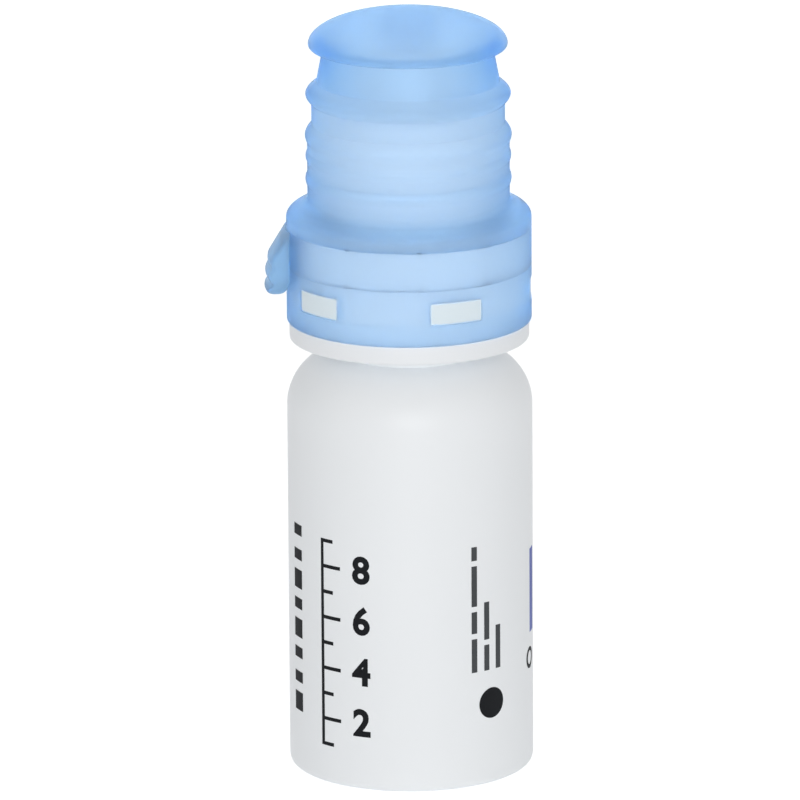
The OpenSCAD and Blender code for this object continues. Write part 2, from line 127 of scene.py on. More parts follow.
def seen_directly(tree):
    """1 for rays from the camera, from gloss and through clear plastic, and 0 for rays of light."""
    path = tree.nodes.new("ShaderNodeLightPath")
    total = path.outputs["Is Camera Ray"]
    for name in ("Is Glossy Ray", "Is Transmission Ray"):
        either = tree.nodes.new("ShaderNodeMath")
        either.operation = "MAXIMUM"
        tree.links.new(total, either.inputs[0])
        tree.links.new(path.outputs[name], either.inputs[1])
        total = either.outputs[0]
    return total


def two_levels(tree, given, seen):
    """Strength of the light that is given, and of the white that is seen."""
    level = tree.nodes.new("ShaderNodeMapRange")
    level.inputs["To Min"].default_value = given
    level.inputs["To Max"].default_value = seen
    tree.links.new(seen_directly(tree), level.inputs["Value"])
    return level.outputs[0]


def make_sky():
    """Even sky that lights the bottle at SKY_LEVEL and looks white."""
    world = bpy.data.worlds.new("sky")
    bpy.context.scene.world = world
    world.use_nodes = True
    background = world.node_tree.nodes["Background"]
    background.inputs["Color"].default_value = SKY_COLOUR
    level = two_levels(world.node_tree, SKY_LEVEL, 1.0)
    world.node_tree.links.new(level, background.inputs["Strength"])


make_sky()
print("sky at", SKY_LEVEL)

# %% Floor
FLOOR_SIZE = 3.0
FLOOR_COLOUR = (0.80, 0.81, 0.82, 1)
FLOOR_GLOW = 0.12
FLOOR_LIFT = 0.6  # added to what is seen of the floor, so that it comes out white


def make_floor():
    """Pale floor that keeps the bottle's shadow."""
    mesh = bpy.data.meshes.new("floor")
    half = FLOOR_SIZE / 2
    mesh.from_pydata([(-half, -half, 0), (half, -half, 0), (half, half, 0), (-half, half, 0)],
                     [], [(0, 1, 2, 3)])
    floor = bpy.data.objects.new("floor", mesh)
    bpy.context.scene.collection.objects.link(floor)
    material = bpy.data.materials.new("pale_floor")
    material.use_nodes = True
    tree = material.node_tree
    surface = tree.nodes["Principled BSDF"]
    surface.inputs["Base Color"].default_value = FLOOR_COLOUR
    surface.inputs["Roughness"].default_value = 0.9
    surface.inputs["Specular IOR Level"].default_value = 0.1
    surface.inputs["Emission Color"].default_value = (1, 1, 1, 1)
    level = two_levels(tree, FLOOR_GLOW, FLOOR_LIFT)
    tree.links.new(level, surface.inputs["Emission Strength"])
    mesh.materials.append(material)


make_floor()
print("floor", FLOOR_SIZE, "m across")

# %% [markdown]
# ## Lamps
# A studio has broad lamps round the bottle. The main one here is broad and low, near the camera, and
# reaches under the white flange. Weaker ones stand at the sides, and one behind lights the edges of
# the blue plastic. Small lamps would be simpler, but they put hard spots on plastic. A lamp's level is
# the share of full white that it puts on a surface that faces it, and its power follows from its
# distance, so a lamp can be moved without a new exposure. Light goes on bouncing for longer than
# Blender's default, because the gaps between white walls, and the inside of milky plastic, are lit
# by little else.

# %% Lamps
BOUNCES = 16
LAMPS = {
    "front_lamp": dict(azimuth=3, elevation=5, distance=0.9, size=0.5, level=0.42),
    "left_lamp": dict(azimuth=-62, elevation=25, distance=0.8, size=0.5, level=0.05),
    "right_lamp": dict(azimuth=62, elevation=25, distance=0.8, size=0.5, level=0.05),
    "back_lamp": dict(azimuth=180, elevation=40, distance=0.9, size=0.6, level=0.14),
}


def make_lamp(name, azimuth, elevation, distance, size, level):
    """Square lamp that faces the bottle's middle."""
    lamp = bpy.data.objects.new(name, bpy.data.lights.new(name, "AREA"))
    lamp.data.size = size
    lamp.data.energy = level * (math.pi * distance) ** 2
    a, e = math.radians(azimuth), math.radians(elevation)
    away = Vector((math.sin(a) * math.cos(e), -math.cos(a) * math.cos(e), math.sin(e)))
    lamp.location = BOTTLE_MIDDLE + away * distance
    lamp.rotation_euler = away.to_track_quat("Z", "Y").to_euler()
    bpy.context.scene.collection.objects.link(lamp)
    print(name, "level", level)


for lamp_name, lamp in LAMPS.items():
    make_lamp(lamp_name, **lamp)

cycles = bpy.context.scene.cycles
cycles.diffuse_bounces = BOUNCES
cycles.glossy_bounces = BOUNCES
cycles.transmission_bounces = 2 * BOUNCES
cycles.max_bounces = 2 * BOUNCES
print("bounces:", cycles.max_bounces)

# %% [markdown]
# ## Moulded skin
# Moulded plastic is never one flat colour. Its skin carries a fine grain from the mould, broad soft
# waves from cooling, and a slight drift in tone. These could be painted into images, but noise in
# the piece's own space needs no unwrapping and stays sharp from any distance. It is made once, as a
# node group with named inputs, so that every plastic can use it with its own values.

# %% Node group helpers


def new_group(name, inputs, outputs):
    """Empty shader group with float inputs (name: default) and outputs, and its two end nodes."""
    group = bpy.data.node_groups.new(name, "ShaderNodeTree")
    for label, default in inputs.items():
        socket = group.interface.new_socket(label, in_out="INPUT", socket_type="NodeSocketFloat")
        socket.default_value = default
    for label in outputs:
        group.interface.new_socket(label, in_out="OUTPUT", socket_type="NodeSocketFloat")
    return group, group.nodes.new("NodeGroupInput"), group.nodes.new("NodeGroupOutput")


def math_node(tree, operation, *values):
    """Math node whose inputs are numbers or sockets."""
    node = tree.nodes.new("ShaderNodeMath")
    node.operation = operation
    for socket, value in zip(node.inputs, values):
        if hasattr(value, "is_linked"):
            tree.links.new(value, socket)
        else:
            socket.default_value = value
    return node.outputs[0]


def noise(tree, coordinates, scale, detail=2.0):
    """Noise in the piece's own space; scale is how many features fit in a metre."""
    node = tree.nodes.new("ShaderNodeTexNoise")
    node.inputs["Detail"].default_value = detail
    tree.links.new(coordinates, node.inputs["Vector"])
    if hasattr(scale, "is_linked"):
        tree.links.new(scale, node.inputs["Scale"])
    else:
        node.inputs["Scale"].default_value = scale
    return node.outputs["Fac"]


print("node helpers ready")

# %% Moulded skin group
DRIFT_SCALE = 90


def make_moulded_skin():
    """Height and tone of a moulded surface: mould grain, cooling waves and a slow drift."""
    group, start, end = new_group(
        "moulded skin",
        {"Grain Scale": 5000, "Grain": 0.4, "Wave Scale": 220, "Wave": 1.0, "Drift": 0.02},
        ["Height", "Tone"])
    place = group.nodes.new("ShaderNodeTexCoord").outputs["Object"]
    grain = noise(group, place, start.outputs["Grain Scale"], detail=3)
    wave = noise(group, place, start.outputs["Wave Scale"], detail=1)
    height = math_node(group, "ADD",
                       math_node(group, "MULTIPLY", grain, start.outputs["Grain"]),
                       math_node(group, "MULTIPLY", wave, start.outputs["Wave"]))
    drift = math_node(group, "SUBTRACT", noise(group, place, DRIFT_SCALE), 0.5)
    tone = math_node(group, "ADD", 1.0,
                     math_node(group, "MULTIPLY", drift, start.outputs["Drift"]))
    group.links.new(height, end.inputs["Height"])
    group.links.new(tone, end.inputs["Tone"])
    return group


MOULDED_SKIN = make_moulded_skin()
print("group:", MOULDED_SKIN.name)

# %% [markdown]
# ## Handling scuffs
# A bottle that is carried in a pocket gets faint rubbed streaks, which show only in the gloss. They
# run mostly round the bottle. Fine noise that is drawn out that way gives the streaks, and a broader
# noise lets them come and go in patches. The group gives a mask alone, and each material decides how
# much its roughness takes from it.

# %% Handling scuffs group
STREAK_STRETCH = (0.35, 0.35, 1.0)
PATCH_SCALE = 130
STREAK_THRESHOLD = 0.22
STREAK_CONTRAST = 4.0


def make_scuffs():
    """Mask of faint rubbed streaks, longer round the bottle than up it."""
    group, start, end = new_group("handling scuffs", {"Amount": 0.5, "Streak Scale": 700}, ["Mask"])
    place = group.nodes.new("ShaderNodeTexCoord").outputs["Object"]
    stretch = group.nodes.new("ShaderNodeVectorMath")
    stretch.operation = "MULTIPLY"
    stretch.inputs[1].default_value = STREAK_STRETCH
    group.links.new(place, stretch.inputs[0])
    streaks = noise(group, stretch.outputs[0], start.outputs["Streak Scale"], detail=4)
    patches = noise(group, place, PATCH_SCALE)
    sharp = math_node(group, "SMOOTH_MIN", math_node(group, "MULTIPLY", streaks, patches), 0.5, 0.1)
    above = math_node(group, "SUBTRACT", sharp, STREAK_THRESHOLD)
    lifted = math_node(group, "MULTIPLY", above, STREAK_CONTRAST)
    mask = group.nodes.new("ShaderNodeClamp")
    group.links.new(math_node(group, "MULTIPLY", lifted, start.outputs["Amount"]), mask.inputs["Value"])
    group.links.new(mask.outputs[0], end.inputs["Mask"])
    return group


HANDLING_SCUFFS = make_scuffs()
print("group:", HANDLING_SCUFFS.name)

# %% [markdown]
# ## Moulded plastic
# Every plastic here shares the same make-up, so one function lays it out: base colour times the
# skin's tone, roughness plus scuffs, and a bump from the skin's height. A material could be put
# together by hand for each piece, but then a better skin would have to be made many times. Each
# finish is a short call with the values of that plastic.

# %% Moulded plastic
PLASTIC_IOR = 1.5
SCUFF_ROUGHNESS = 0.15


def moulded(name, colour, roughness, bump, skin=None, scuffs=0.4, drift=0.02, gloss=0.5):
    """Plastic with a moulded skin; bump is the depth of the skin in millimetres."""
    material = bpy.data.materials.new(name)
    material.use_nodes = True
    tree = material.node_tree
    surface = tree.nodes["Principled BSDF"]
    surface.inputs["IOR"].default_value = PLASTIC_IOR
    surface.inputs["Specular IOR Level"].default_value = gloss

    skin_node = tree.nodes.new("ShaderNodeGroup")
    skin_node.node_tree = MOULDED_SKIN
    for label, value in {"Drift": drift, **(skin or {})}.items():
        skin_node.inputs[label].default_value = value
    tint = tree.nodes.new("ShaderNodeVectorMath")
    tint.operation = "SCALE"
    tint.inputs[0].default_value = colour
    tree.links.new(skin_node.outputs["Tone"], tint.inputs["Scale"])
    tree.links.new(tint.outputs[0], surface.inputs["Base Color"])

    scuff_node = tree.nodes.new("ShaderNodeGroup")
    scuff_node.node_tree = HANDLING_SCUFFS
    scuff_node.inputs["Amount"].default_value = scuffs
    rubbed = math_node(tree, "MULTIPLY", scuff_node.outputs["Mask"], SCUFF_ROUGHNESS)
    tree.links.new(math_node(tree, "ADD", rubbed, roughness), surface.inputs["Roughness"])

    bump_node = tree.nodes.new("ShaderNodeBump")
    bump_node.inputs["Distance"].default_value = bump * MM
    tree.links.new(skin_node.outputs["Height"], bump_node.inputs["Height"])
    tree.links.new(bump_node.outputs["Normal"], surface.inputs["Normal"])
    return material


print("scuffs add up to", SCUFF_ROUGHNESS, "to the roughness")

# %% [markdown]
# ## White plastics
# The bottle is a soft, satin white with long waves in it, and the dispenser a harder and finer white.
# One white could serve all pieces, but their small differences are what tells them apart. The walls
# inside the cap get a painted shade: a duller, darker white, because they would otherwise shine through
# it too brightly. The lugs in the ring's windows get a painted shade with painted blue light: a darker,
# bluer white, for the shade in the windows and the blue light from the plastic round them. The stem is
# polished.

# %% White plastics
WHITE_BOTTLE = moulded("white_bottle", (0.94, 0.957, 0.970), 0.42, 0.02,
                       skin={"Wave": 1.0, "Grain": 0.06, "Grain Scale": 3500})
WHITE_PART = moulded("white_part", (0.925, 0.943, 0.962), 0.4, 0.006, skin={"Grain": 0.5})
# Painted shade: a darker white for the tower and the nozzle under the cap, the same plastic as the flange.
WHITE_INSIDE_SHADED = moulded("white_inside_painted_shade", (0.865, 0.865, 0.87), 0.6, 0.01, skin={"Grain": 0.8})
# Painted shade and painted blue light: the lugs are darker and bluer than the white part they belong to.
WHITE_LUG_SHADED = moulded("white_lug_painted_shade", (0.82, 0.92, 0.97), 0.5, 0.01, skin={"Grain": 0.8})
WHITE_STEM = moulded("white_stem", (0.871, 0.871, 0.855), 0.25, 0.002)
print("white plastics:", ", ".join(m.name for m in bpy.data.materials if m.name.startswith("white")))

# %% [markdown]
# ## Milky blue plastic
# The ring, the strip and the cap are a pale blue that light passes through: thin walls are paler, and
# thick ones, or walls seen edge on, are a deeper blue. A mix with a translucent shader could fake
# this, but it wouldn't know how thick the plastic is. So the surface is clear with a rough face,
# which makes it milky, and the volume under it dyes the light on its way. A tint on the surface gives
# even the thinnest wall some blue. The tab is solid, so it lets less light through. It is the same
# plastic as the strip, and its deeper and greyer colour is a painted shade.

# %% Milky blue plastic
MILKY_TINT = (0.835, 0.88, 0.935)
MILKY_IOR = 1.25
MILKY_BUMP = 0.004
DYE = (0.0, 0.6, 1.0)


def milky(name, roughness, clear, dye_density, colour=MILKY_TINT):
    """Translucent plastic: clear is the share of light that passes, to be dyed on its way."""
    material = moulded(name, colour, roughness, MILKY_BUMP)
    tree = material.node_tree
    surface = tree.nodes["Principled BSDF"]
    surface.inputs["IOR"].default_value = MILKY_IOR
    surface.inputs["Transmission Weight"].default_value = clear
    depth = tree.nodes.new("ShaderNodeVolumeAbsorption")
    depth.inputs["Color"].default_value = (*DYE, 1)
    depth.inputs["Density"].default_value = dye_density
    tree.links.new(depth.outputs[0], tree.nodes["Material Output"].inputs["Volume"])
    return material


BLUE_CAP = milky("blue_cap", 0.62, 0.95, 155)
BLUE_STRIP = milky("blue_strip", 0.62, 0.95, 160)
BLUE_RING = milky("blue_ring", 0.62, 0.95, 160)
# Painted shade: the tab's colour is deeper and greyer than the strip's, though it is the same plastic.
BLUE_TAB_SHADED = milky("blue_tab_painted_shade", 0.5, 0.75, 140, colour=(0.50, 0.66, 0.80))
print("blue plastics:", ", ".join(m.name for m in bpy.data.materials if m.name.startswith("blue")))

# %% [markdown]
# ## Steel, seal and filter
# These finishes are on pieces inside the dispenser, which show only when it is taken apart. The
# spring is drawn steel wire with fine marks from the die, the neck seal a soft, dull elastomer, and
# the filter a coarse felt. All three are the moulded skin again with other values, since grain and
# drift serve metal and felt as well as plastic.

# %% Steel, seal and filter


def steel():
    """Drawn wire: bright, with fine marks from the die."""
    material = moulded("spring_steel", (0.56, 0.57, 0.59), 0.28, 0.003,
                       skin={"Grain Scale": 9000, "Grain": 0.8}, scuffs=0.8)
    material.node_tree.nodes["Principled BSDF"].inputs["Metallic"].default_value = 1.0
    return material


SPRING_STEEL = steel()
SOFT_SEAL = moulded("soft_seal", (0.617, 0.644, 0.644), 0.6, 0.01)
FILTER_FELT = moulded("filter_felt", (0.672, 0.687, 0.687), 0.85, 0.06,
                      skin={"Grain Scale": 6500, "Grain": 2.0}, drift=0.15)
print("inside finishes:", SPRING_STEEL.name, SOFT_SEAL.name, FILTER_FELT.name)

# %% [markdown]
# ## Inks
# The print lies on the plastic as a thin, matt film that covers a little unevenly. It could be a mask
# in the bottle's own material, but then its edges would blur from near. The inks are materials of
# their own, with little gloss and a strong drift in tone, for a print that is a mesh.

# %% Inks


def ink(name, colour):
    """Matt printing ink, a little uneven where it covers the plastic."""
    return moulded(name, colour, 0.6, 0.004, skin={"Grain": 1.0}, drift=0.4, gloss=0.12)


BLACK_INK = ink("black_ink", (0.008, 0.009, 0.011))
GREY_INK = ink("grey_ink", (0.075, 0.08, 0.085))
VIOLET_INK = ink("violet_ink", (0.17, 0.21, 0.52))
print("materials:", len(bpy.data.materials))

# %% [markdown]
# ## Outlines of turned pieces
# Almost every piece here is round, and is described best by its section: a closed outline in radius
# and height. Blender's Screw modifier could turn such an outline, but mesh code lets a seam swell out
# or an angle be added where a piece needs it. Corners are rounded on the outline itself, because
# moulded edges always have a small radius, and that radius is what catches the light.

# %% Outlines


def arc(r, z, rr, rz, start, stop, n=16):
    """Points on an elliptical arc about (r, z), with angles in degrees."""
    turns = [math.radians(start + (stop - start) * i / n) for i in range(n + 1)]
    return [(r + rr * math.cos(t), z + rz * math.sin(t)) for t in turns]


def rib(r, r_top, z, height, width, n=20):
    """Points up a rounded rib on a wall that goes from r to r_top."""
    points = []
    for i in range(n + 1):
        t = i / n
        wall = r + (r_top - r) * t
        points.append((wall + height * math.sin(math.pi * t), z + width * (t - 0.5)))
    return points


def rounded(corners, n=5):
    """Outline whose corners (r, z, rounding) are cut by an arc; a corner without one stays sharp."""
    outline = []
    count = len(corners)
    for i, corner in enumerate(corners):
        here = Vector(corner[:2])
        cut = corner[2] if len(corner) > 2 else 0
        if not cut:
            outline.append(tuple(here))
            continue
        before = Vector(corners[i - 1][:2]) - here
        after = Vector(corners[(i + 1) % count][:2]) - here
        a = here + before.normalized() * min(cut, before.length * 0.48)
        b = here + after.normalized() * min(cut, after.length * 0.48)
        for k in range(n + 1):
            t = k / n
            outline.append(tuple(a * (1 - t) ** 2 + here * 2 * t * (1 - t) + b * t ** 2))
    return outline


print("a quarter arc has", len(arc(0, 0, 1, 1, 0, 90)), "points, and a rib", len(rib(1, 1, 0, 0.1, 1)))

# %% [markdown]
# ## Meshes of turned pieces
# The outline is repeated at angles round the axis, and faces are laid between neighbours. Sizes are
# in millimetres until the mesh is finished, and are then scaled to metres once, for all pieces alike.
# Faces are smooth, apart from edges that turn by more than a set angle. Last, the piece is told which
# body it rides on and which node of the frame it stands for.

# %% Meshes
SHARP = math.radians(38)
TOO_CLOSE = 1e-5


def finish_mesh(name, bm, material, body, node=None, slot=None, sharp=SHARP):
    """Turns a bmesh in millimetres into a piece that rides on a body and may replace a CAD node."""
    bmesh.ops.remove_doubles(bm, verts=bm.verts, dist=TOO_CLOSE)
    bmesh.ops.recalc_face_normals(bm, faces=bm.faces)
    bmesh.ops.scale(bm, vec=(MM, MM, MM), verts=bm.verts)
    for face in bm.faces:
        face.smooth = True
    mesh = bpy.data.meshes.new(name)
    bm.to_mesh(mesh)
    bm.free()
    mesh.set_sharp_from_angle(angle=sharp)
    mesh.materials.append(material)
    piece = bpy.data.objects.new(name, mesh)
    bpy.context.scene.collection.objects.link(piece)
    if node:
        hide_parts(node)
    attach(piece, body)
    print(name, len(mesh.vertices), "points")
    return piece


def around(r, angle, z):
    """Point at a radius, an angle and a height."""
    return (r * math.cos(angle), r * math.sin(angle), z)


def lay_faces(bm, rows, closed=False):
    """Faces between neighbouring rows of points, and an end on both sides if they aren't closed."""
    pairs = list(zip(rows, rows[1:] + rows[:1])) if closed else list(zip(rows, rows[1:]))
    for near, far in pairs:
        for i in range(len(near)):
            j = (i + 1) % len(near)
            if near[i].co == far[i].co and near[j].co == far[j].co:
                continue  # an edge on the axis has no face beside it
            bm.faces.new([near[i], far[i], far[j], near[j]])
    if not closed:
        bm.faces.new(rows[0])
        bm.faces.new(rows[-1][::-1])


def sweep(bm, outline, angles, closed, swell=None):
    """Sweeps a closed outline round the axis; swell(angle, r, z) is added to the radius."""
    rows = []
    for a in angles:
        grow = [swell(a, r, z) if swell and r > 0 else 0 for r, z in outline]
        rows.append([bm.verts.new(around(r + g, a, z)) for (r, z), g in zip(outline, grow)])
    lay_faces(bm, rows, closed)


def even_turn(steps):
    """Angles of a full turn."""
    return [2 * math.pi * i / steps for i in range(steps)]


def turned(name, outline, material, body, steps=192, **more):
    """A turned piece."""
    bm = bmesh.new()
    sweep(bm, outline, even_turn(steps), closed=True)
    return finish_mesh(name, bm, material, body, **more)


print("edges are sharp from", round(math.degrees(SHARP)), "degrees")

# %% [markdown]
# ## The squeeze bottle
# The bottle is blow moulded: one wall that swells from the neck into a soft shoulder, and a hollow
# base to stand on. It could be sculpted from a cylinder with a subdivision surface, but an outline
# keeps its radii exact, and the neck with its snap bead fits the dispenser. The two halves of the mould
# leave faint seams at the sides. They are real ridges in the mesh, so extra angles lie beside them.

# %% Bottle
BASE_ROUND = 0.8
DISH_R = 9.6
DISH_RISE = 0.7
BOTTLE_WALL = 0.9
FLOOR_EDGE = 0.6
SIDE_TOP = 36.5
SHOULDER_H = 5.25
NECK_R = 6.9
NECK_IN_R = NECK_R - 1.2
MOUTH_EDGE = 0.3
BEAD_Z = NECK_TOP - 6.3
BEAD_H = 0.35
BEAD_W = 1.4
SEAM_H = 0.03
SEAM_WIDTH = math.radians(0.45)
SEAM_PLACES = (0, math.pi)


def bottle_outline():
    """Section of the bottle, from the middle of the base round to the inside."""
    dish = [(DISH_R * i / 12, DISH_RISE * (1 - (i / 12) ** 2)) for i in range(13)]
    side = arc(BODY_R - BASE_ROUND, BASE_ROUND, BASE_ROUND, BASE_ROUND, -90, 0, 12)
    shoulder = arc(NECK_R, SIDE_TOP, BODY_R - NECK_R, SHOULDER_H, 0, 90, 40)
    bead = rib(NECK_R, NECK_R, BEAD_Z, BEAD_H, BEAD_W, 8)
    mouth = [(NECK_R, NECK_TOP - MOUTH_EDGE), (NECK_R - MOUTH_EDGE, NECK_TOP), (NECK_IN_R, NECK_TOP)]
    inner_r = BODY_R - BOTTLE_WALL
    inside = arc(NECK_IN_R, SIDE_TOP, inner_r - NECK_IN_R, SHOULDER_H - BOTTLE_WALL, 90, 0, 24)
    floor_z = DISH_RISE + BOTTLE_WALL
    bottom = [(inner_r, floor_z + FLOOR_EDGE), (inner_r - FLOOR_EDGE, floor_z), (0, floor_z)]
    return dish + side + shoulder + bead + mouth + inside + bottom


def seam(angle, r, z):
    """Height of the mould seam, on the outside of the body alone."""
    outside_r = BODY_R - BOTTLE_WALL / 2 - 2 * max(0, z - SIDE_TOP)
    if z > SIDE_TOP + SHOULDER_H or r < outside_r:
        return 0
    away = min(abs(math.remainder(angle - a, 2 * math.pi)) for a in SEAM_PLACES)
    return SEAM_H * math.exp(-(away / SEAM_WIDTH) ** 2)


def make_bottle():
    """Bottle with its two mould seams."""
    near = [k * SEAM_WIDTH for k in (-2, -1.4, -0.9, -0.45, 0, 0.45, 0.9, 1.4, 2)]
    angles = even_turn(180) + [a + n for a in SEAM_PLACES for n in near if n]
    bm = bmesh.new()
    sweep(bm, bottle_outline(), sorted(angles), closed=True, swell=seam)
    finish_mesh("squeeze_bottle", bm, WHITE_BOTTLE, "dispenser", "bottle", "white_bottle")


make_bottle()

# %% [markdown]
# ## The white dispenser
# Flange, skirt and tower are one moulding that snaps on the bottle's neck. The flange shows as a white
# band under the blue ring, the skirt backs the ring and the strip, and the tower shines through the
# cap. They could be three pieces, but one closed outline with its real hollows is what a mould would
# give, and light finds the same gaps in it. Faces above the flange get a duller white, a painted
# shade for the walls under the cap.

# %% Dispenser housing
FLANGE_R, FLANGE_LOW, TOWER_TOP = reach("dispenser_housing")
RING_R, RING_LOW, RING_TOP = reach("retaining_ring")
RING_WALL = 1.0
SKIRT_R = RING_R - RING_WALL - 0.12
SKIRT_IN_R = SKIRT_R - 1.5
SKIRT_TOP = CAP_LOW - 0.22
GROOVE = 0.25
GROOVE_H = 1.9
BORE_R = NECK_R + 0.05
TOWER_R = BORE_R + 1.05
TOWER_ROUND = 0.9
CHAMBER_R = NECK_R - 1.3
CHAMBER_TOP = TOWER_TOP - 1.2
LEDGE_Z = NECK_TOP + 1.4
NOZZLE_HOLE_R = 3.65
SOFT_CORNER = 0.3
FLANGE_TOP_CORNER = 0.06
SKIRT_FOOT_CORNER = 0.05
SKIRT_TOP_CORNER = 0.1


def housing_outline():
    """Section of the housing, from the flange up the skirt and over the tower."""
    lower = rounded([
        (BORE_R, FLANGE_LOW), (FLANGE_R, FLANGE_LOW, SOFT_CORNER), (FLANGE_R, RING_LOW, FLANGE_TOP_CORNER),
        (SKIRT_R - GROOVE, RING_LOW), (SKIRT_R - GROOVE, RING_LOW + GROOVE_H),
        (SKIRT_R, RING_LOW + GROOVE_H, SKIRT_FOOT_CORNER), (SKIRT_R, SKIRT_TOP, SOFT_CORNER),
        (SKIRT_IN_R, SKIRT_TOP, SKIRT_TOP_CORNER), (SKIRT_IN_R, RING_LOW, SOFT_CORNER),
        (TOWER_R, RING_LOW, SOFT_CORNER)])
    top = arc(TOWER_R - TOWER_ROUND, TOWER_TOP - TOWER_ROUND, TOWER_ROUND, TOWER_ROUND, 0, 90, 10)
    inner = [(NOZZLE_HOLE_R, TOWER_TOP), (NOZZLE_HOLE_R, CHAMBER_TOP), (CHAMBER_R, CHAMBER_TOP),
             (CHAMBER_R, LEDGE_Z), (BORE_R, LEDGE_Z)]
    groove = rib(BORE_R, BORE_R, BEAD_Z, BEAD_H, BEAD_W + 0.1, 8)[::-1]
    return lower + top + inner + groove


housing = turned("dispenser_base", housing_outline(), WHITE_PART, "dispenser",
                 node="dispenser_housing", slot="white_part")
# The faces above the flange take the darker white of the painted shade.
housing.data.materials.append(WHITE_INSIDE_SHADED)
for face in housing.data.polygons:
    if face.center.z > RING_LOW * MM:
        face.material_index = 1

# %% [markdown]
# ## The window lugs
# Five lugs stand out from the skirt and hold the blue ring by its windows, and they are what shows
# white there. A white patch on the ring would look like them from the front, but a block behind a
# real opening also catches the shadow of the opening's edge. Each lug is a short stretch of the same
# kind of sweep, a hair smaller than its window.

# %% Window lugs
WINDOWS = 5
TAB_ANGLE = math.radians(185)
WINDOW_ANGLE = math.radians(26)
WINDOW_LOW = RING_LOW + 2.15
WINDOW_H = 2.2
LUG_R = RING_R - 0.12
LUG_ROOT_R = SKIRT_R - 0.2
LUG_GAP = 0.02
LUG_CORNER = 0.18
window_middles = [TAB_ANGLE + (i + 0.5) * 2 * math.pi / WINDOWS for i in range(WINDOWS)]


def make_lugs(steps=16):
    """Five white blocks on the skirt, with their outer corners rounded."""
    low = WINDOW_LOW + LUG_GAP
    high = WINDOW_LOW + WINDOW_H - LUG_GAP
    section = rounded([(LUG_ROOT_R, low), (LUG_R, low, LUG_CORNER),
                       (LUG_R, high, LUG_CORNER), (LUG_ROOT_R, high)])
    half = WINDOW_ANGLE / 2 - LUG_GAP / LUG_R
    bm = bmesh.new()
    for middle in window_middles:
        angles = [middle + half * (2 * k / steps - 1) for k in range(steps + 1)]
        sweep(bm, section, angles, closed=False)
    # The lugs take the darker, bluer white of the painted shade and the painted blue light.
    finish_mesh("window_lugs", bm, WHITE_LUG_SHADED, "dispenser", slot="white_part")


make_lugs()

# %% [markdown]
# ## The nozzle
# The dropper nozzle is a piece of its own, pushed up into the tower and clamped by its foot. Its tip is
# rounded and slightly dished, so that a drop can hang and fall cleanly, and its bore widens below
# into the room for the stem and the spring. With the cap on it is only a pale form in the blue, yet it
# is built in full, because it is the first thing that shows when the cap comes off.

# %% Nozzle
_, NOZZLE_LOW, TIP_Z = reach("nozzle_tip")
NOZZLE_BASE_R = CHAMBER_R - 0.05
NOZZLE_FOOT_R = 3.6
NOZZLE_WAIST_R = 3.25
NOZZLE_WAIST_RISE = 2.2
TIP_R = 3.0
TIP_ROUND = 0.6
TIP_LIP = 0.3
TIP_DISH = 0.5
DISH_CORNER = 0.15
OUTLET_R = 0.35
OUTLET_L = 1.6
STEM_BORE_R = 1.7
SPRING_ROOM_R = 2.6
SPRING_ROOM_TOP = TIP_Z - 4.1
SPRING_ROOM_TAPER = 0.8


def nozzle_outline():
    """Section of the dropper nozzle, with its dished tip and its outlet."""
    seat = TIP_Z - OUTLET_L
    foot = [(SPRING_ROOM_R, NOZZLE_LOW), (NOZZLE_BASE_R, NOZZLE_LOW), (NOZZLE_BASE_R, CHAMBER_TOP),
            (NOZZLE_FOOT_R, CHAMBER_TOP), (NOZZLE_FOOT_R, TOWER_TOP - 0.02)]
    waist = [(NOZZLE_FOOT_R - 0.06, TOWER_TOP + 0.25), (NOZZLE_WAIST_R, TOWER_TOP + NOZZLE_WAIST_RISE)]
    tip = arc(TIP_R - TIP_ROUND, TIP_Z - TIP_ROUND, TIP_ROUND, TIP_ROUND, 0, 90, 10)
    dish = rounded([
        (TIP_R - TIP_ROUND - TIP_LIP, TIP_Z, DISH_CORNER),
        (OUTLET_R + 0.3, TIP_Z - TIP_DISH, DISH_CORNER),
        (OUTLET_R, TIP_Z - TIP_DISH - 0.2), (OUTLET_R, seat), (STEM_BORE_R, seat),
        (STEM_BORE_R, SPRING_ROOM_TOP + SPRING_ROOM_TAPER), (SPRING_ROOM_R, SPRING_ROOM_TOP)])
    return foot + waist + tip + dish


# The nozzle takes the darker white of the painted shade under the cap.
turned("dropper_nozzle", nozzle_outline(), WHITE_INSIDE_SHADED, "dispenser", steps=96,
       node="nozzle_tip", slot="white_part")

# %% [markdown]
# ## The blue ring
# The ring stays on the dispenser when the strip is torn off, and its windows show the white lugs. The
# windows could be left out of the sweep as a grid of missing faces, but then they would have no
# rounded corners. So the ring is turned first, and a boolean cuts them with blocks that are bent to
# its radius. A small bevel softens the cut edges. The cutters are removed afterwards, so that only
# the finished mesh is left.

# %% Cutters for the windows
RING_IN_R = RING_R - RING_WALL
WINDOW_CORNER = 0.3
CUT_PAST = 0.5
RIM_STEP = 0.4


def window_rim():
    """Outline of a window, unrolled, with points close enough together to be bent."""
    half = WINDOW_ANGLE * RING_R / 2
    high = WINDOW_LOW + WINDOW_H
    corners = rounded([(-half, WINDOW_LOW, WINDOW_CORNER), (half, WINDOW_LOW, WINDOW_CORNER),
                       (half, high, WINDOW_CORNER), (-half, high, WINDOW_CORNER)])
    rim = []
    for (u, z), (u2, z2) in zip(corners, corners[1:] + corners[:1]):
        parts = max(1, round(abs(u2 - u) / RIM_STEP))
        rim += [(u + (u2 - u) * k / parts, z + (z2 - z) * k / parts) for k in range(parts)]
    return rim


